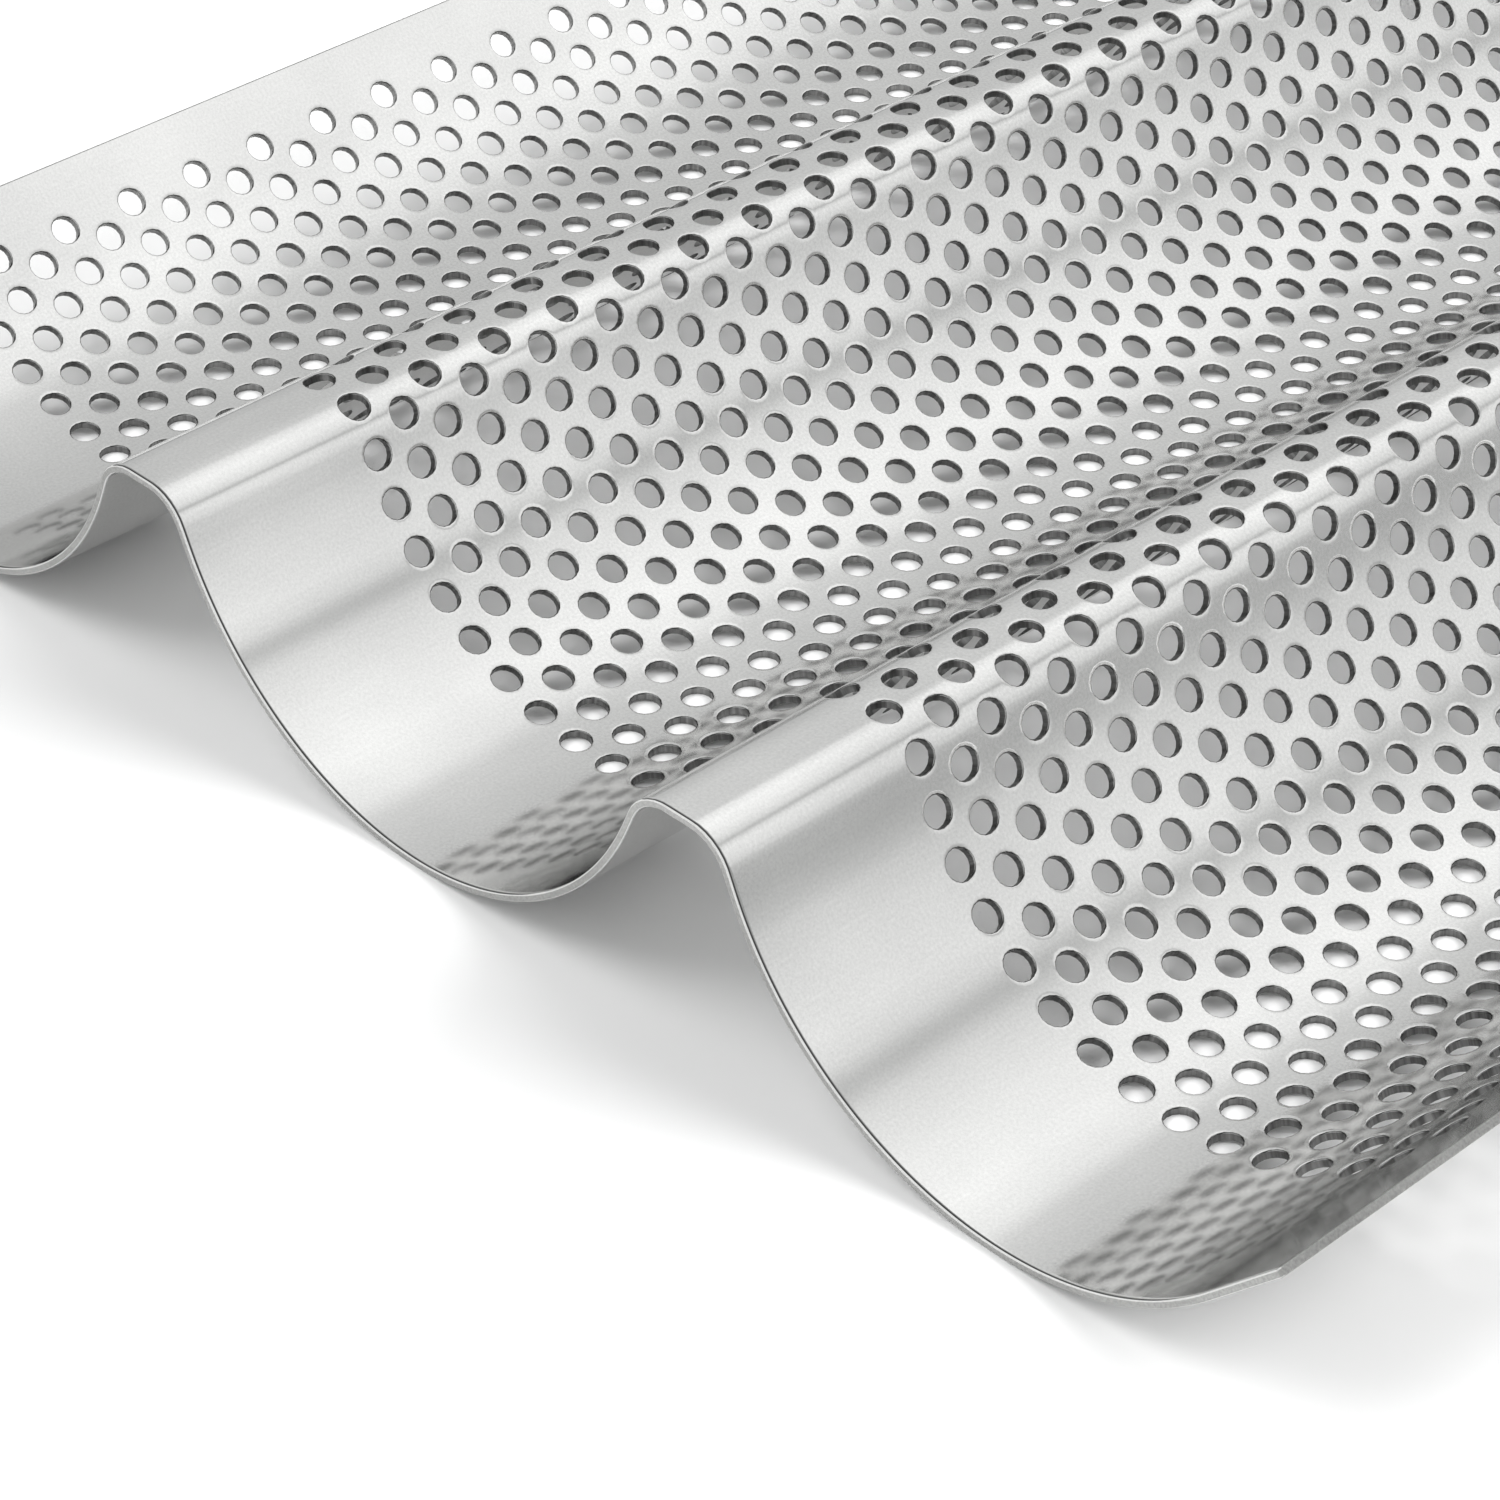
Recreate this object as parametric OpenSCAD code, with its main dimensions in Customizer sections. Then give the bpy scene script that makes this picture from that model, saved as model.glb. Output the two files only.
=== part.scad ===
// Baguette tray: one perforated stainless sheet bent into three long channels.
// X runs across the channels, Y along them and Z up. The origin is on the surface the tray
// stands on, below the middle of the tray. The sheet is drawn as long staves that meet face
// to face, each the length of the tray, and the hole pattern is not cut here.

/* [Sheet] */
// Thickness of the sheet
sheet_t = 0.8; // [0.6:0.1:1.2]
// Length of the tray along its channels
tray_len = 378.4; // [250:0.1:600]

/* [Channels] */
// Radius of the channel's hollow
channel_r = 32; // [28:0.5:45]
// Slope where a channel wall meets its ridge
wall_angle = 66; // [55:1:75]
// Flat stretch of a channel wall below its ridge
wall_flat = 1.9; // [0.5:0.1:10]

/* [Ridges] */
// Outer radius of a ridge's two bends
ridge_r = 5; // [3:0.1:8]
// Width of the flat top of a ridge
ridge_flat = 3; // [1:0.5:10]

/* [Outer edges] */
// Slope of the lip along each long edge
lip_angle = 45; // [36:1:60]
// Straight width of the lip
lip_w = 9.5; // [3:0.5:20]

/* [Hidden] */
$fn = 180;

sheet_colour = "silver";
ridge_mid_r = ridge_r - sheet_t / 2;
bends_r = channel_r + sheet_t / 2 + ridge_mid_r;
// A channel's wall is three bent staves from its bottom to its ridge, and two up to the lip.
stave_angle = wall_angle / 3;
rise_angle = lip_angle / 2;

// The channel's axis stands this high, and the tray's bottom lies at Z 0.
axis_z = channel_r + sheet_t;
// The ridge's middle lies this far from the channel's middle, and its top stands this high.
ridge_x = bends_r * sin(wall_angle) + wall_flat * cos(wall_angle) + ridge_flat / 2;
tray_h = bends_r * (1 - cos(wall_angle)) + wall_flat * sin(wall_angle) + sheet_t;
channel_pitch = 2 * ridge_x;

// Carries a cross-section, drawn in X and Z, along the whole tray.
module along_tray() {
  rotate([90, 0, 0])
    linear_extrude(height = tray_len, center = true)
      children();
}

// Sector of a ring about the current point. Angles start straight down and grow towards +X.
module ring_sector(inner_r, from, to) {
  reach = 2 * (inner_r + sheet_t);
  intersection() {
    difference() {
      circle(r = inner_r + sheet_t);
      circle(r = inner_r);
    }
    polygon([
      [0, 0],
      [reach * sin(from), -reach * cos(from)],
      [reach * sin(to), -reach * cos(to)]
    ]);
  }
}

// Bent stave of the channel whose middle is at X x.
module bent_stave(x, from, to) {
  along_tray()
    translate([x, axis_z])
      ring_sector(channel_r, from, to);
}

// Straight stave that carries on where the bend of the channel at X x ends.
module straight_stave(x, angle, width) {
  along_tray()
    translate([x, axis_z])
      rotate(angle)
        translate([0, -channel_r - sheet_t])
          square([width, sheet_t]);
}

// Top of the wall on the right of the middle channel, with its flat stretch.
module upper_wall() {
  union() {
    bent_stave(0, 2 * stave_angle, wall_angle);
    straight_stave(0, wall_angle, wall_flat);
  }
}

// Half of a ridge, on the right of the middle of its top: half of the flat and one bend.
module ridge_half() {
  along_tray()
    translate([0, tray_h - ridge_r])
      union() {
        translate([0, ridge_r - sheet_t])
          square([ridge_flat / 2, sheet_t]);
        translate([ridge_flat / 2, 0])
          ring_sector(ridge_r - sheet_t, 180 - wall_angle, 180);
      }
}

// Sub-parts of the right half, from the middle of the tray outwards.
module middle_floor() {
  color(sheet_colour)
    bent_stave(0, 0, stave_angle);
}

module middle_flank() {
  color(sheet_colour)
    bent_stave(0, stave_angle, 2 * stave_angle);
}

module middle_wall() {
  color(sheet_colour)
    upper_wall();
}

module ridge_inner() {
  color(sheet_colour)
    translate([ridge_x, 0, 0])
      mirror([1, 0, 0])
        ridge_half();
}

module ridge_outer() {
  color(sheet_colour)
    translate([ridge_x, 0, 0])
      ridge_half();
}

module side_wall() {
  color(sheet_colour)
    translate([channel_pitch, 0, 0])
      mirror([1, 0, 0])
        upper_wall();
}

module side_flank() {
  color(sheet_colour)
    bent_stave(channel_pitch, -2 * stave_angle, -stave_angle);
}

module side_floor_inner() {
  color(sheet_colour)
    bent_stave(channel_pitch, -stave_angle, 0);
}

module side_floor_outer() {
  color(sheet_colour)
    bent_stave(channel_pitch, 0, rise_angle);
}

module side_rise() {
  color(sheet_colour)
    bent_stave(channel_pitch, rise_angle, lip_angle);
}

module lip() {
  color(sheet_colour)
    straight_stave(channel_pitch, lip_angle, lip_w);
}

middle_floor();  // middle_floor_right
mirror([1, 0, 0]) middle_floor();  // middle_floor_left
middle_flank();  // middle_flank_right
mirror([1, 0, 0]) middle_flank();  // middle_flank_left
middle_wall();  // middle_wall_right
mirror([1, 0, 0]) middle_wall();  // middle_wall_left
ridge_inner();  // ridge_inner_right
mirror([1, 0, 0]) ridge_inner();  // ridge_inner_left
ridge_outer();  // ridge_outer_right
mirror([1, 0, 0]) ridge_outer();  // ridge_outer_left
side_wall();  // side_wall_right
mirror([1, 0, 0]) side_wall();  // side_wall_left
side_flank();  // side_flank_right
mirror([1, 0, 0]) side_flank();  // side_flank_left
side_floor_inner();  // side_floor_inner_right
mirror([1, 0, 0]) side_floor_inner();  // side_floor_inner_left
side_floor_outer();  // side_floor_outer_right
mirror([1, 0, 0]) side_floor_outer();  // side_floor_outer_left
side_rise();  // side_rise_right
mirror([1, 0, 0]) side_rise();  // side_rise_left
lip();  // lip_right
mirror([1, 0, 0]) lip();  // lip_left
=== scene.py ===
import bpy
import math
import numpy as np
from mathutils import Matrix, Vector


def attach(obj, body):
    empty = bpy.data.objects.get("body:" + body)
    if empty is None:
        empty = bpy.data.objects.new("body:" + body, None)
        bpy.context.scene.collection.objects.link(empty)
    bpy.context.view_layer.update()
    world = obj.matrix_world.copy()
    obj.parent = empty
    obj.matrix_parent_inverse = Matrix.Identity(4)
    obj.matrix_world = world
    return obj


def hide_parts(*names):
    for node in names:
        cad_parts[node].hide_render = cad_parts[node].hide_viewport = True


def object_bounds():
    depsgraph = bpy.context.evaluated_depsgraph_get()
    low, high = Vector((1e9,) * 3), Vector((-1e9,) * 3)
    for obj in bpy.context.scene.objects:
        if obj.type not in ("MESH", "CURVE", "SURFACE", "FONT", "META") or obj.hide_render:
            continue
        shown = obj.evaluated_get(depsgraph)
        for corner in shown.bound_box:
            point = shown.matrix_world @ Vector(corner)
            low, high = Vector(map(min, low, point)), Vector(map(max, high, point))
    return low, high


# A baguette tray: one perforated stainless sheet bent into three long channels.
# X runs across the channels, Y along them and Z up. Sheet sizes are in mm, scene sizes in m.

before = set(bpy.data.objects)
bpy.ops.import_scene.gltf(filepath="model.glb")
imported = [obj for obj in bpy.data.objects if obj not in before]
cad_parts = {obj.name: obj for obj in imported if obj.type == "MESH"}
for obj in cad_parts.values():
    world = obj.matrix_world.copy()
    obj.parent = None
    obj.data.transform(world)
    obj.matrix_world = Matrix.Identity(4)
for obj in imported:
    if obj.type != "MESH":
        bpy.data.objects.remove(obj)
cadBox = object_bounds()
mm = 0.001                         # in metres
tolerance = 0.001                  # in mm: places closer than this are the same

# The bent sheet. Lengths in mm, angles in degrees.
sheet = {
    "thickness": 0.8,
    "channelRadius": 32.0,     # hollow side of a channel
    "wallAngle": 66.0,         # slope where a wall meets its ridge
    "wallFlat": 1.9,           # straight stretch below the ridge
    "ridgeRadius": 5.0,        # outer side of a ridge bend
    "ridgeFlat": 3.0,          # flat top of a ridge
    "lipAngle": 45.0,          # slope of the straight strip along each long edge
    "lipWidth": 9.5,
    "edgeRound": 0.14,         # deburring radius of the cut edges
    "edgeRoll": 0.40,          # width of the mesh strip along the edges
    "edgeTilt": 30.0,          # how far the strip's shading slopes down at a cut end
    "borderRow": 2.5,          # length of a mesh row on the plain end borders
}

# The punched holes, in a staggered pattern on the sheet laid flat. Lengths in mm.
holes = {
    "diameter": 3.0,
    "pitch": 5.0,
    "columns": 78,             # columns along the tray
    "lastRow": 48,             # outermost half-row, counted from the middle line
    "rollWidth": 0.17,         # rounded entry on the upper side, outside the hole
    "rollDepth": 0.12,
    "rollTilt": 72.0,          # slope of the rounded entry where it meets the hole
    "burnishShadeWidth": 0.08,      # inner part of the rounded entry, painted darker: burnished steel and painted shade at the hole's edge
    "burnishShadeDepth": 0.08,
    "burnishShadeTilt": 38.0,       # slope where it starts
    "dishWidth": 0.48,         # how far from the hole the sheet starts to sink
    "dishDepth": 0.03,
    "dishTilt": 9.0,
    "cellSteps": 6,            # mesh steps across a hole's cell, which is 2 steps long
}


# The bent middle line as straight runs and arcs, from the middle of the tray to its right edge:
# rows of (length, curvature), where a positive curvature turns the line upwards.
def bendRuns():
    channelMid = sheet["channelRadius"] + sheet["thickness"] / 2
    ridgeMid = sheet["ridgeRadius"] - sheet["thickness"] / 2
    wall = math.radians(sheet["wallAngle"])
    lip = math.radians(sheet["lipAngle"])
    return np.array([
        (channelMid * wall, 1 / channelMid),
        (sheet["wallFlat"], 0),
        (ridgeMid * wall, -1 / ridgeMid),
        (sheet["ridgeFlat"], 0),
        (ridgeMid * wall, -1 / ridgeMid),
        (sheet["wallFlat"], 0),
        (channelMid * (wall + lip), 1 / channelMid),
        (sheet["lipWidth"], 0),
    ])


# The middle line at flat place s: x, z and slope, for s from the middle line outwards. Along an
# arc the slope t grows as the length times the curvature k, and x = (sin t - sin t0) / k and
# z = (cos t0 - cos t) / k are the integrals of its cosine and sine. A straight run adds its
# length times them. Each run starts where the sum of the runs before it ends.
def middleLine(s):
    lengths, bends = bendRuns().T
    startS = np.concatenate([[0], np.cumsum(lengths)[:-1]])
    slope = np.concatenate([[0], np.cumsum(lengths * bends)[:-1]])
    radius = np.divide(1, bends, where=bends != 0, out=np.zeros_like(bends))

    # Place and slope at length d along run i, counted from where that run starts.
    def along(i, d):
        t = slope[i] + bends[i] * d
        x = np.where(bends[i] == 0, d * np.cos(t), (np.sin(t) - np.sin(slope[i])) * radius[i])
        z = np.where(bends[i] == 0, d * np.sin(t), (np.cos(slope[i]) - np.cos(t)) * radius[i])
        return x, z, t

    runX, runZ, _ = along(np.arange(len(lengths)), lengths)
    startX = np.concatenate([[0], np.cumsum(runX)[:-1]])
    startZ = np.concatenate([[0], np.cumsum(runZ)[:-1]])
    i = np.searchsorted(startS, s, side="right") - 1
    x, z, t = along(i, s - startS[i])
    return startX[i] + x, startZ[i] + z, t


# A vector (a along s, b along y, c out of the sheet) turned from the flat sheet to the bent one,
# by the slope t there: (a cos t - c sin t, b, a sin t + c cos t). The left half mirrors the right,
# so its slope has the other sign.
def bentVector(s, vector):
    _, _, t = middleLine(np.abs(s))
    t = t * np.sign(s)
    a, b, c = vector.T
    return np.stack([a * np.cos(t) - c * np.sin(t), b, a * np.sin(t) + c * np.cos(t)], axis=-1)


# Place on the bent sheet of flat place (s, y) at height h above its middle: the point of the
# middle line plus h times the normal there. The tray stands at height 0, so the line starts half
# a thickness up.
def bentPoint(s, y, h):
    x, z, _ = middleLine(np.abs(s))
    line = np.stack([x * np.sign(s), y, z + sheet["thickness"] / 2], axis=-1)
    zero = np.zeros_like(s)
    return line + bentVector(s, np.stack([zero, zero, h], axis=-1))


pitch = holes["pitch"]
columnStep = pitch * math.sqrt(3) / 2
halfLength = (cadBox[1][1] - cadBox[0][1]) / 2 / mm
halfWidth = bendRuns()[:, 0].sum()
gridStep = pitch / holes["cellSteps"]
cellCorners = 2 * (holes["cellSteps"] + 2)    # mesh corners round a cell, and round its hole
fieldY = holes["columns"] * columnStep / 2    # the punched field reaches this far each way
fieldS = (holes["lastRow"] + 1) * pitch / 2
satinPlace, wallPlace, cutPlace, rimPlace = range(4)    # a piece's material slots
print("sheet laid flat", round(2 * halfWidth, 1), "by", round(2 * halfLength, 1), "mm")


# Centres of the holes between two flat places. Column c stands at y, and its rows are every
# second half-row, so that neighbouring columns are staggered by half a pitch.
def holeCentres(low, high):
    column = np.arange(holes["columns"])
    row = np.arange(-holes["lastRow"], holes["lastRow"] + 1)
    c, r = np.meshgrid(column, row, indexing="ij")
    place = r * pitch / 2
    keep = ((c + r) % 2 == 1) & (place >= low) & (place < high)
    return np.stack([place[keep], (c[keep] + 0.5) * columnStep - fieldY], axis=-1)


# The rings of one hole about its centre, as points (s, y, h) and normals in the same axes. The
# first and the last ring are the edge of the hole's cell, a rectangle, on the upper side and on
# the underside. The others are circles, r cos a and r sin a: start of the shallow dish, start of
# the rounded entry, start of its darker part (burnished steel with painted shade), edge of the
# hole, and its exit on the underside. The cell's edge starts at a corner, and its second point
# faces the circles' angle of 0.
def holeRings():
    n = cellCorners
    steps = holes["cellSteps"]
    across = np.linspace(1, -1, steps + 1) * pitch / 2
    along = np.array([-1, 0, 1]) * columnStep / 2
    s = np.concatenate([np.full(2, pitch / 2), across[:-1], np.full(2, -pitch / 2), across[:0:-1]])
    y = np.concatenate([along[:-1], np.full(steps, along[-1]), along[:0:-1], np.full(steps, along[0])])
    angle = 2 * np.pi * (np.arange(n) - 1) / n
    top = sheet["thickness"] / 2
    r = holes["diameter"] / 2

    def cellEdge(h):
        return np.stack([s, y, np.full(n, h)], axis=-1)

    def circle(radius, h):
        return np.stack([radius * np.cos(angle), radius * np.sin(angle), np.full(n, h)], axis=-1)

    # Normals tilted by t towards the hole: (-sin t cos a, -sin t sin a, cos t).
    def tilted(degrees):
        t = np.radians(degrees)
        inwards = -np.sin(t)
        return np.stack([inwards * np.cos(angle), inwards * np.sin(angle), np.full(n, np.cos(t))], -1)

    rollTop = top - holes["dishDepth"]
    rollEnd = rollTop - holes["rollDepth"]
    rings = np.stack([
        cellEdge(top), circle(r + holes["dishWidth"], top), circle(r + holes["rollWidth"], rollTop),
        circle(r + holes["burnishShadeWidth"], rollEnd + holes["burnishShadeDepth"]), circle(r, rollEnd),
        circle(r, -top), cellEdge(-top)])
    bandNormals = np.stack([           # at the first and at the second ring of each band
        np.stack([tilted(0), tilted(0)]),
        np.stack([tilted(0), tilted(holes["dishTilt"])]),
        np.stack([tilted(holes["dishTilt"]), tilted(holes["burnishShadeTilt"])]),
        np.stack([tilted(holes["burnishShadeTilt"]), tilted(holes["rollTilt"])]),
        np.stack([tilted(90), tilted(90)]),
        np.stack([tilted(180), tilted(180)])])
    return rings, bandNormals


# Quads between neighbouring rings, for every hole: point j of one ring and point j + 1, counted
# round, with the same two of the next ring. Gives corners and their normals, both (quads, 4, 3),
# and the material slot of each quad, which changes at the darker part of the rounded entry,
# burnished steel with painted shade at the hole's edge, and at the sheared wall, whose dark steel
# is partly painted shade inside the hole.
def holeQuads(centres):
    rings, bandNormals = holeRings()
    bandPlaces = [satinPlace, satinPlace, satinPlace, rimPlace, wallPlace, satinPlace]
    j = np.arange(cellCorners)
    following = (j + 1) % cellCorners
    near, far = rings[:-1], rings[1:]
    one = np.stack([near[:, j], near[:, following], far[:, following], far[:, j]], axis=2)
    first, second = bandNormals[:, 0], bandNormals[:, 1]
    normals = np.stack([first[:, j], first[:, following], second[:, following], second[:, j]], axis=2)
    middle = np.concatenate([centres, np.zeros((len(centres), 1))], axis=1)
    corners = (one.reshape(-1, 4, 3) + middle[:, None, None]).reshape(-1, 4, 3)
    places = np.tile(np.repeat(bandPlaces, cellCorners), len(centres))
    return corners, np.tile(normals.reshape(-1, 4, 3), (len(centres), 1, 1)), places


# Corner lines of the plain grid: s in the mesh steps of a cell, and y in halves of a column inside
# the punched field and in longer rows on the end borders. Both end with the strip along the edge,
# and in s the step before it is up to half a step longer or shorter.
def gridLines():
    edgeS = halfWidth - sheet["edgeRound"]
    edgeY = halfLength - sheet["edgeRound"]
    steps = np.arange(1, round(2 * fieldS / gridStep)) * gridStep - fieldS
    roll = sheet["edgeRoll"]
    outS = np.append(np.arange(fieldS, edgeS - roll - gridStep / 2, gridStep), [edgeS - roll, edgeS])
    rows = round((edgeY - fieldY) / sheet["borderRow"])
    outY = np.append(np.linspace(fieldY, edgeY - roll, rows + 1), edgeY)
    inY = (np.arange(2 * holes["columns"] + 1) - holes["columns"]) * columnStep / 2
    return np.concatenate([-outS[::-1], steps, outS]), np.concatenate([-outY[:0:-1], inY, outY[1:]])


# Which cut edges a place is on: -1, 0 or 1 along s, and the same along y. It is the sign of the
# coordinate where that reaches the edge's rounding, and 0 elsewhere.
def edgeSide(points):
    limit = np.array([halfWidth, halfLength]) - sheet["edgeRound"] - tolerance
    return np.where(np.abs(points[..., :2]) > limit, np.sign(points[..., :2]), 0)


# Normals of the upper side: straight up, and tilted outwards by t on a cut end, which is
# (0, sin t, cos t) on the end at positive y.
def upperNormal(points):
    t = math.radians(sheet["edgeTilt"]) * edgeSide(points)[..., 1]
    return np.stack([np.zeros_like(t), np.sin(t), np.cos(t)], axis=-1)


# Plain quads of both sides of the sheet: the rectangles of the grid that no hole's cell covers.
# A cell covers a rectangle if the row nearest to the rectangle's middle, in its column, has a hole.
# In every second column the rows are shifted by half a pitch.
def plainQuads(low, high):
    s, y = gridLines()
    midS, midY = np.meshgrid((s[:-1] + s[1:]) / 2, (y[:-1] + y[1:]) / 2, indexing="ij")
    column = np.floor((midY + fieldY) / columnStep)
    shift = (column % 2 == 0) * 0.5
    nearest = (np.round(midS / pitch - shift) + shift) * pitch
    covered = (np.abs(midY) < fieldY) & (np.abs(nearest) < fieldS - tolerance)
    i, j = np.nonzero(~covered & (midS >= low) & (midS < high))
    top = np.full(len(i), sheet["thickness"] / 2)
    upper = np.stack([
        np.stack([s[i], y[j], top], -1), np.stack([s[i + 1], y[j], top], -1),
        np.stack([s[i + 1], y[j + 1], top], -1), np.stack([s[i], y[j + 1], top], -1)], axis=1)
    lower = upper[:, ::-1] * [1, 1, -1]
    below = np.tile([0, 0, -1.0], (len(i), 4, 1))
    return np.concatenate([upper, lower]), np.concatenate([upperNormal(upper), below])


codeShift = [200, 200, 2]          # in mm: makes every s, y and h positive
codeSteps = 2000                   # steps to a mm
codeRoom = (10 ** 6, 10 ** 4)      # more steps than y and h can have


# One whole number for a place on the flat sheet, so that corners that share a place can be found:
# the steps of s times the room for y, plus the steps of y, all times the room for h, plus those
# of h.
def placeCode(points):
    steps = np.round((points + codeShift) * codeSteps).astype(np.int64)
    return (steps[..., 0] * codeRoom[0] + steps[..., 1]) * codeRoom[1] + steps[..., 2]


# Quads that close the open rim of the upper side down to the lower side. The rim is the edges
# that only one upper quad uses, each taken backwards, from a to b, so that its wall faces outwards:
# the wall's normal is the edge's direction crossed with straight down. On an outer edge of the
# sheet the wall bulges out by the rounding: upper rounding, cut face and lower rounding. At a seam
# it goes straight down. The quads come as these three bands, one after another and equally long.
def rimQuads(corners):
    top, rounding = sheet["thickness"] / 2, sheet["edgeRound"]
    upper = corners[(corners[:, :, 2] > top - tolerance).sum(axis=1) >= 2]
    code = placeCode(upper)
    ends = np.stack([code, np.roll(code, -1, axis=1)], axis=-1).reshape(-1, 2)
    spots = np.stack([upper, np.roll(upper, -1, axis=1)], axis=2).reshape(-1, 2, 3)
    flat = (spots[:, :, 2] > top - tolerance).all(axis=1)
    ends, spots = ends[flat], spots[flat]
    ordered = np.sort(ends, axis=1)
    _, inverse, count = np.unique(ordered, axis=0, return_inverse=True, return_counts=True)
    single = count[inverse.reshape(-1)] == 1
    a, b = spots[single, 1], spots[single, 0]
    onEdge = (edgeSide(a).any(axis=1) & edgeSide(b).any(axis=1))[:, None]
    face = np.cross(b - a, [0, 0, -1.0])
    face /= np.linalg.norm(face, axis=1, keepdims=True)

    # The rim's points at height h, moved outwards by the bulge where they are on an outer edge.
    def level(points, h, bulge):
        moved = points[:, :2] + edgeSide(points) * bulge
        return np.concatenate([moved, np.full((len(points), 1), h)], axis=1)

    # Quads from the rim's points at one height to the same points at a lower one.
    def band(high, low, bulgeHigh, bulgeLow, normalHigh, normalLow):
        corners = [level(a, high, bulgeHigh), level(b, high, bulgeHigh),
                   level(b, low, bulgeLow), level(a, low, bulgeLow)]
        return np.stack(corners, axis=1), np.stack([*normalHigh, *normalLow[::-1]], axis=1)

    upwards = [np.where(onEdge, upperNormal(a), face), np.where(onEdge, upperNormal(b), face)]
    downwards = [np.where(onEdge, [0, 0, -1.0], face)] * 2
    cutTop = top - rounding
    bands = [band(top, cutTop, 0, rounding, upwards, [face, face]),
             band(cutTop, -cutTop, rounding, rounding, [face, face], [face, face]),
             band(-cutTop, -top, rounding, 0, [face, face], downwards)]
    bandCorners, bandNormals = zip(*bands)
    return np.concatenate(bandCorners), np.concatenate(bandNormals)


# The stretch of sheet between two flat places, as one closed mesh, bent into shape. The flat
# places are its UV map, in m. On the outer edges the map runs on outwards by the depth below the
# upper side. The roundings of the cut ends are as satin as the sheet.
def sheetPiece(name, low, high, materials):
    centres = holeCentres(low, high)
    holeCorners, holeNormals, holePlaces = holeQuads(centres)
    plainCorners, plainNormals = plainQuads(low, high)
    rimCorners, rimNormals = rimQuads(np.concatenate([holeCorners, plainCorners]))
    corners = np.concatenate([holeCorners, plainCorners, rimCorners]).reshape(-1, 3)
    normals = np.concatenate([holeNormals, plainNormals, rimNormals]).reshape(-1, 3)
    rimBand = np.arange(len(rimCorners)) // (len(rimCorners) // 3)
    onEnd = edgeSide(rimCorners)[..., 1].any(axis=1)
    rimPlaces = np.where((rimBand != 1) & onEnd, satinPlace, cutPlace)
    places = np.concatenate([holePlaces, np.full(len(plainCorners), satinPlace), rimPlaces])
    _, first, index = np.unique(placeCode(corners), return_index=True, return_inverse=True)
    spots = corners[first]

    mesh = bpy.data.meshes.new(name)
    mesh.vertices.add(len(spots))
    mesh.vertices.foreach_set("co", (bentPoint(*spots.T) * mm).ravel())
    mesh.loops.add(len(corners))
    mesh.loops.foreach_set("vertex_index", index.reshape(-1).astype(np.int32))
    mesh.polygons.add(len(corners) // 4)
    mesh.polygons.foreach_set("loop_start", np.arange(0, len(corners), 4, dtype=np.int32))
    mesh.polygons.foreach_set("material_index", places.astype(np.int32))
    mesh.update(calc_edges=True)
    flatPlace = mesh.uv_layers.new(name="flat")
    depth = sheet["thickness"] / 2 - corners[:, 2:]
    flatPlace.data.foreach_set("uv", ((corners[:, :2] + edgeSide(corners) * depth) * mm).ravel())
    mesh.normals_split_custom_set(bentVector(corners[:, 0], normals))
    for material in materials:
        mesh.materials.append(material)
    piece = bpy.data.objects.new(name, mesh)
    bpy.context.collection.objects.link(piece)
    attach(piece, "root")
    print(name, len(centres), "holes", len(corners) // 2, "triangles")
    return piece


grainShape = {
    "speckleDetail": 3.0,
    "speckleRoughness": 0.65,
    "streakSqueeze": 0.06,     # a streak's width over its length
    "streakDetail": 2.0,
    "cloudScale": 45.0,        # soft patches to a metre
    "cloudDetail": 3.0,
    "cloudShare": 0.4,         # their share of the tone
    "toneRange": (0.3, 0.7),   # tones that count as the darkest and the lightest
}


# Fine speckle of a cold-rolled satin sheet. The height, for Bump, mixes small even noise with
# streaks drawn out along the tray, by the streaks' share. The tone mixes that height with wide soft
# patches, by theirs.
def fineGrain():
    group = bpy.data.node_groups.new("fineGrain", "ShaderNodeTree")
    sockets = group.interface
    sockets.new_socket(name="Place", in_out="INPUT", socket_type="NodeSocketVector")
    sockets.new_socket(name="Grain Scale", in_out="INPUT", socket_type="NodeSocketFloat")
    sockets.new_socket(name="Streak Share", in_out="INPUT", socket_type="NodeSocketFloat")
    sockets.new_socket(name="Height", in_out="OUTPUT", socket_type="NodeSocketFloat")
    sockets.new_socket(name="Tone", in_out="OUTPUT", socket_type="NodeSocketFloat")
    add, link = group.nodes.new, group.links.new
    entry, leave = add("NodeGroupInput"), add("NodeGroupOutput")
    speckle = add("ShaderNodeTexNoise")
    speckle.inputs["Detail"].default_value = grainShape["speckleDetail"]
    speckle.inputs["Roughness"].default_value = grainShape["speckleRoughness"]
    link(entry.outputs["Place"], speckle.inputs["Vector"])
    link(entry.outputs["Grain Scale"], speckle.inputs["Scale"])
    stretch = add("ShaderNodeMapping")
    stretch.inputs["Scale"].default_value = (1.0, grainShape["streakSqueeze"], 1.0)
    link(entry.outputs["Place"], stretch.inputs["Vector"])
    streaks = add("ShaderNodeTexNoise")
    streaks.inputs["Detail"].default_value = grainShape["streakDetail"]
    link(stretch.outputs["Vector"], streaks.inputs["Vector"])
    link(entry.outputs["Grain Scale"], streaks.inputs["Scale"])
    both = add("ShaderNodeMix")
    link(entry.outputs["Streak Share"], both.inputs["Factor"])
    link(speckle.outputs["Fac"], both.inputs["A"])
    link(streaks.outputs["Fac"], both.inputs["B"])
    clouds = add("ShaderNodeTexNoise")
    clouds.inputs["Scale"].default_value = grainShape["cloudScale"]
    clouds.inputs["Detail"].default_value = grainShape["cloudDetail"]
    link(entry.outputs["Place"], clouds.inputs["Vector"])
    tone = add("ShaderNodeMix")
    tone.inputs["Factor"].default_value = grainShape["cloudShare"]
    link(both.outputs["Result"], tone.inputs["A"])
    link(clouds.outputs["Fac"], tone.inputs["B"])
    link(both.outputs["Result"], leave.inputs["Height"])
    link(tone.outputs["Result"], leave.inputs["Tone"])
    return group


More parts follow.
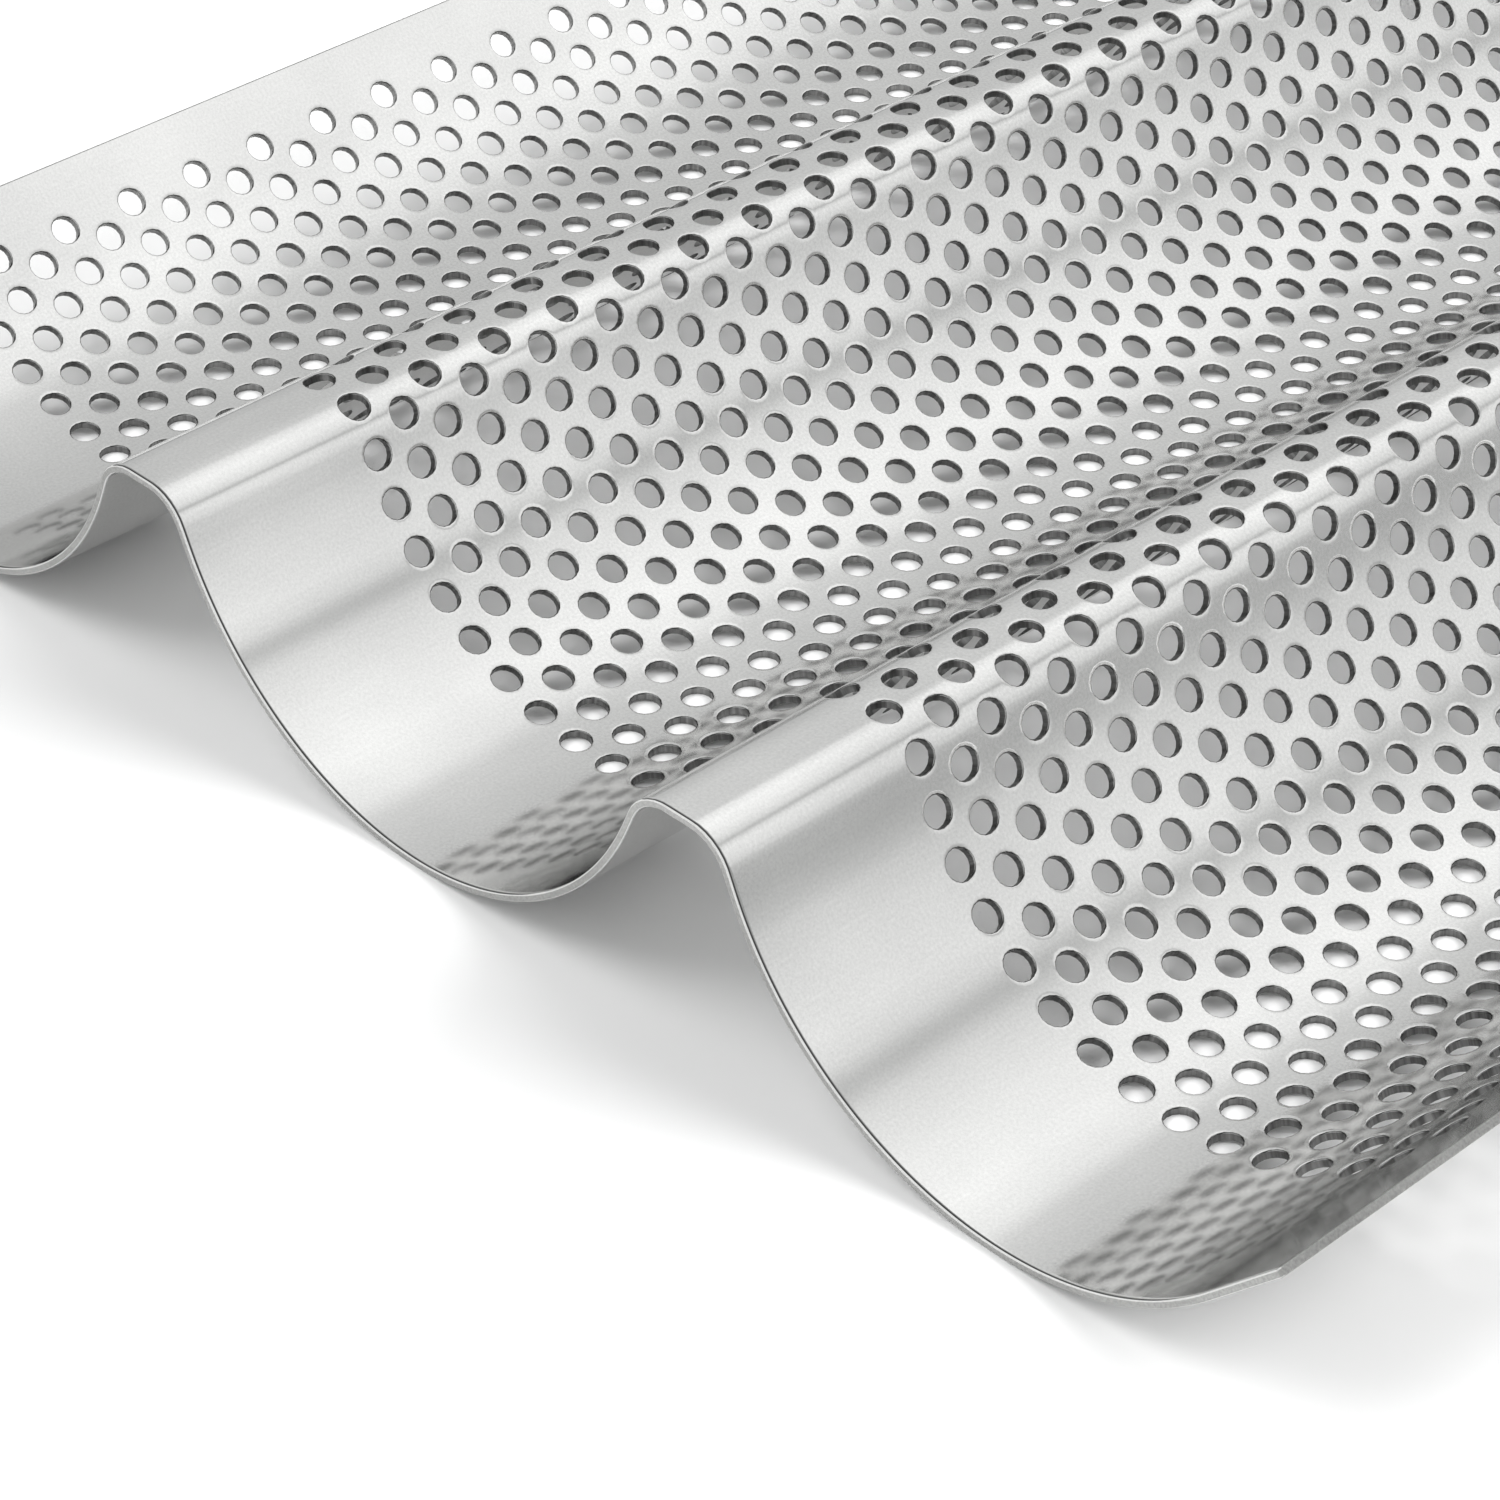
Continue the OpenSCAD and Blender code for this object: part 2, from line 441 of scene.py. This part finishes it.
# The four finishes. Bump depths are in m, and the lightest places are also the smoothest.
satin = {
    "darkTone": (0.53, 0.53, 0.525),
    "lightTone": (0.71, 0.71, 0.70),
    "roughest": 0.115,
    "smoothest": 0.080,
    "grainScale": 3200.0,      # grains to a metre
    "streaks": 0.15,
    "bump": 0.10,
    "bumpDepth": 0.00002,
}

# The hole's sheared wall is rough steel, and its very dark tones are also painted shade inside the hole.
holeWallAndShade = {
    "darkTone": (0.07, 0.07, 0.07),
    "lightTone": (0.30, 0.30, 0.295),
    "roughest": 0.5,
    "smoothest": 0.25,
    "grainScale": 2500.0,
    "streaks": 0.0,
    "bump": 0.4,
    "bumpDepth": 0.00006,
}

# The inner part of the rounded entry: burnished steel, and its dark tones are also painted shade at the
# hole's edge.
rimBurnishAndShade = {
    "darkTone": (0.12, 0.12, 0.12),
    "lightTone": (0.32, 0.32, 0.315),
    "roughest": 0.28,
    "smoothest": 0.14,
    "grainScale": 2500.0,
    "streaks": 0.0,
    "bump": 0.2,
    "bumpDepth": 0.00004,
}

cutFace = {
    "darkTone": (0.24, 0.24, 0.235),
    "lightTone": (0.50, 0.50, 0.49),
    "roughest": 0.5,
    "smoothest": 0.3,
    "grainScale": 3500.0,
    "streaks": 0.1,
    "bump": 0.3,
    "bumpDepth": 0.00004,
}


# Bare steel. The grain's tone, brought from its range to 0 to 1, mixes the dark with the light
# tone and the roughest with the smoothest roughness, and the grain's height is the bump.
def steel(name, finish, grain):
    material = bpy.data.materials.new(name)
    material.use_nodes = True
    nodes, link = material.node_tree.nodes, material.node_tree.links.new
    shader = nodes["Principled BSDF"]
    shader.inputs["Metallic"].default_value = 1.0
    place = nodes.new("ShaderNodeUVMap")
    place.uv_map = "flat"
    effect = nodes.new("ShaderNodeGroup")
    effect.node_tree = grain
    effect.inputs["Grain Scale"].default_value = finish["grainScale"]
    effect.inputs["Streak Share"].default_value = finish["streaks"]
    link(place.outputs["UV"], effect.inputs["Place"])
    tone = nodes.new("ShaderNodeMapRange")
    tone.inputs["From Min"].default_value = grainShape["toneRange"][0]
    tone.inputs["From Max"].default_value = grainShape["toneRange"][1]
    link(effect.outputs["Tone"], tone.inputs["Value"])
    colour = nodes.new("ShaderNodeMix")
    colour.data_type = "RGBA"
    colour.inputs["A"].default_value = (*finish["darkTone"], 1)
    colour.inputs["B"].default_value = (*finish["lightTone"], 1)
    link(tone.outputs["Result"], colour.inputs["Factor"])
    link(colour.outputs["Result"], shader.inputs["Base Color"])
    gloss = nodes.new("ShaderNodeMapRange")
    gloss.inputs["To Min"].default_value = finish["roughest"]
    gloss.inputs["To Max"].default_value = finish["smoothest"]
    link(tone.outputs["Result"], gloss.inputs["Value"])
    link(gloss.outputs["Result"], shader.inputs["Roughness"])
    bump = nodes.new("ShaderNodeBump")
    bump.inputs["Strength"].default_value = finish["bump"]
    bump.inputs["Distance"].default_value = finish["bumpDepth"]
    link(effect.outputs["Height"], bump.inputs["Height"])
    link(bump.outputs["Normal"], shader.inputs["Normal"])
    return material


# The finishes in the order of a piece's material slots.
def makeFinishes():
    grain = fineGrain()
    return [steel("satinSheet", satin, grain), steel("holeWallAndShade", holeWallAndShade, grain),
            steel("cutFace", cutFace, grain), steel("rimBurnishAndShade", rimBurnishAndShade, grain)]


finishes = makeFinishes()
print("materials made")

# The sheet is meshed in stretches from the middle outwards: where each starts and ends on the flat
# sheet, in mm at whole half-rows, and the CAD staves that it stands for.
stretches = {
    "Floor": (0.0, 40.0, ("middle_floor", "middle_flank", "middle_wall")),
    "Ridge": (40.0, 52.5, ("ridge_inner", "ridge_outer")),
    "InnerWall": (52.5, 90.0, ("side_wall", "side_flank", "side_floor_inner")),
    "OuterWall": (90.0, halfWidth, ("side_floor_outer", "side_rise", "lip")),
}


# Each stretch on the right, and its mirror image on the left.
def makeSheet():
    for part, (near, far, staves) in stretches.items():
        right = sheetPiece("right" + part, near, far, finishes)
        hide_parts(*[stave + "_right" for stave in staves])
        left = sheetPiece("left" + part, -far, -near, finishes)
        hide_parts(*[stave + "_left" for stave in staves])


makeSheet()
print("sheet made")

studio = {
    "floorSize": 8.0,          # in m
    "floorTone": (0.78, 0.78, 0.78),
    "floorRoughness": 0.8,
    "skyTone": (0.99, 1.0, 0.997),    # the sky's colour at a glow of 1
}


# The floor the tray stands on: one large square at the tray's lowest height.
def makeFloor():
    half = studio["floorSize"] / 2
    spots = [(-half, -half, 0), (half, -half, 0), (half, half, 0), (-half, half, 0)]
    mesh = bpy.data.meshes.new("floor")
    mesh.from_pydata(spots, [], [(0, 1, 2, 3)])
    floor = bpy.data.objects.new("floor", mesh)
    bpy.context.collection.objects.link(floor)
    paint = bpy.data.materials.new("floorPaint")
    paint.use_nodes = True
    shader = paint.node_tree.nodes["Principled BSDF"]
    shader.inputs["Base Color"].default_value = (*studio["floorTone"], 1)
    shader.inputs["Roughness"].default_value = studio["floorRoughness"]
    mesh.materials.append(paint)


# A tent of long glowing panels over the tray, from its left to its right. Each row is the place of
# an edge (x and z in m) and the glow there. A panel's glow runs from that of its left edge to that
# of its right edge. The dim stretch makes the dark line along each channel's flank, and the last
# panels come in low beside the tray, where the right channel's flank mirrors them.
tent = [
    (-0.330, 0.050, 0.36),
    (-0.300, 0.130, 0.48),
    (-0.200, 0.200, 0.67),
    (-0.130, 0.235, 0.86),
    (-0.095, 0.243, 1.34),
    (-0.020, 0.240, 1.62),
    (0.050, 0.232, 1.42),
    (0.100, 0.221, 1.16),
    (0.122, 0.214, 1.00),
    (0.145, 0.207, 0.48),
    (0.152, 0.204, 0.48),
    (0.172, 0.196, 1.04),
    (0.200, 0.180, 1.26),
    (0.255, 0.120, 1.03),
    (0.205, 0.065, 0.83),
    (0.155, 0.035, 0.42),
    (0.135, 0.015, 0.12),
]
tentSpan = (-0.130, 0.800)         # where the panels start and end along the tray
tentPower = 1.8                    # watts for a square metre at a glow of 1


# A panel's width is the distance between its edges, and its power is its area times the power for
# a square metre. Its nodes scale that by its glow: the left glow plus the share of the width
# crossed times the difference. It shines against the cross product of its width direction and Y.
def addPanel(name, left, right):
    (startX, startZ, startGlow), (endX, endZ, endGlow) = left, right
    start, end = Vector((startX, 0, startZ)), Vector((endX, 0, endZ))
    width, length = (end - start).length, tentSpan[1] - tentSpan[0]
    across, along = (end - start).normalized(), Vector((0, 1, 0))
    light = bpy.data.lights.new(name, "AREA")
    light.shape = "RECTANGLE"
    light.size, light.size_y = width, length
    light.energy = width * length * tentPower
    light.use_nodes = True
    nodes, link = light.node_tree.nodes, light.node_tree.links.new
    place = nodes.new("ShaderNodeNewGeometry")
    split = nodes.new("ShaderNodeSeparateXYZ")
    glow = nodes.new("ShaderNodeMapRange")
    glow.inputs["To Min"].default_value = startGlow
    glow.inputs["To Max"].default_value = endGlow
    link(place.outputs["Parametric"], split.inputs["Vector"])
    link(split.outputs["X"], glow.inputs["Value"])
    link(glow.outputs["Result"], nodes["Emission"].inputs["Strength"])
    lamp = bpy.data.objects.new(name, light)
    axes = Matrix((across, along, across.cross(along))).transposed().to_4x4()
    middle = (start + end) / 2 + along * sum(tentSpan) / 2
    lamp.matrix_world = Matrix.Translation(middle) @ axes
    lamp.visible_camera = False
    bpy.context.collection.objects.link(lamp)


# The key light behind the tray's right side casts the soft shadow on the floor, and the fill light
# before its left side lifts it. The sheet doesn't mirror them.
softBoxes = {
    "keyLight": {"at": (1.3, 1.0, 1.15), "size": 1.5, "watts": 40.0},
    "fillLight": {"at": (-0.75, -0.85, 1.6), "size": 1.2, "watts": 22.0},
}


# A square light turned to shine at the origin: it shines against its Z axis, and that axis points
# from the origin to its place.
def addSoftBox(name, box):
    light = bpy.data.lights.new(name, "AREA")
    light.size = box["size"]
    light.energy = box["watts"]
    lamp = bpy.data.objects.new(name, light)
    lamp.location = box["at"]
    lamp.rotation_euler = Vector(box["at"]).to_track_quat("Z", "Y").to_euler()
    lamp.visible_camera = False
    lamp.visible_glossy = False
    bpy.context.collection.objects.link(lamp)


# The sky by how far a direction points along Y: even behind the tray, dark just before it, which
# draws the dark line beside each cut edge, and bright lower down in front.
sky = [
    (-0.80, 1.15),
    (-0.50, 1.35),
    (-0.36, 0.08),
    (-0.05, 0.08),
    (0.12, 0.50),
]


# The ramp counts from 0 to 1, so a direction's Y, from -1 to 1, stands at (Y + 1) / 2.
def makeSky():
    world = bpy.data.worlds.new("studio")
    world.use_nodes = True
    nodes, link = world.node_tree.nodes, world.node_tree.links.new
    place = nodes.new("ShaderNodeTexCoord")
    split = nodes.new("ShaderNodeSeparateXYZ")
    share = nodes.new("ShaderNodeMapRange")
    share.inputs["From Min"].default_value = -1.0
    ramp = nodes.new("ShaderNodeValToRGB")
    stops = ramp.color_ramp.elements
    stops[0].position, stops[1].position = [(y + 1) / 2 for y, _ in (sky[0], sky[-1])]
    for y, _ in sky[1:-1]:
        stops.new((y + 1) / 2)
    for stop, (_, glow) in zip(stops, sky):
        stop.color = (*[glow * tone for tone in studio["skyTone"]], 1)
    link(place.outputs["Generated"], split.inputs["Vector"])
    link(split.outputs["Y"], share.inputs["Value"])
    link(share.outputs["Result"], ramp.inputs["Fac"])
    link(ramp.outputs["Color"], nodes["Background"].inputs["Color"])
    bpy.context.scene.world = world


# The camera looks down along the tray from its near right end. Angles in degrees, lengths in m.
view = {
    "turn": 46.79,             # about Z, from looking along the tray
    "height": 35.61,           # how steeply it looks down
    "roll": -0.59,
    "distance": 0.38629,
    "lens": 111.09,            # in mm, like the sensor's width
    "sensor": 36.0,
    "nearClip": 0.01,
    "pastEnd": 0.0108,         # the aim is this far in from the near end
    "aimX": 0.03344,
    "belowTop": 0.0004,        # and this far below the ridges' tops
}


# The camera is turned about Z, tilted about its X and rolled about its Z, and stands back from the
# aim by the distance along that Z.
def addCamera():
    turns = [math.radians(view["turn"]), math.radians(90 - view["height"]), math.radians(view["roll"])]
    turned = Matrix.Identity(4)
    for angle, axis in zip(turns, "ZXZ"):
        turned = turned @ Matrix.Rotation(angle, 4, axis)
    aim = Vector((view["aimX"], cadBox[0][1] + view["pastEnd"], cadBox[1][2] - view["belowTop"]))
    data = bpy.data.cameras.new("camera")
    data.lens = view["lens"]
    data.sensor_width = view["sensor"]
    data.clip_start = view["nearClip"]
    camera = bpy.data.objects.new("camera", data)
    camera.matrix_world = Matrix.Translation(aim) @ turned @ Matrix.Translation((0, 0, view["distance"]))
    bpy.context.collection.objects.link(camera)
    bpy.context.scene.camera = camera


# The panels span from each row of the tent to the next.
def makeStudio():
    makeFloor()
    for i, (left, right) in enumerate(zip(tent[:-1], tent[1:])):
        addPanel("tentPanel" + str(i + 1), left, right)
    for name, box in softBoxes.items():
        addSoftBox(name, box)
    makeSky()
    addCamera()
    bpy.context.scene.view_settings.view_transform = "Standard"


makeStudio()
print("studio made")
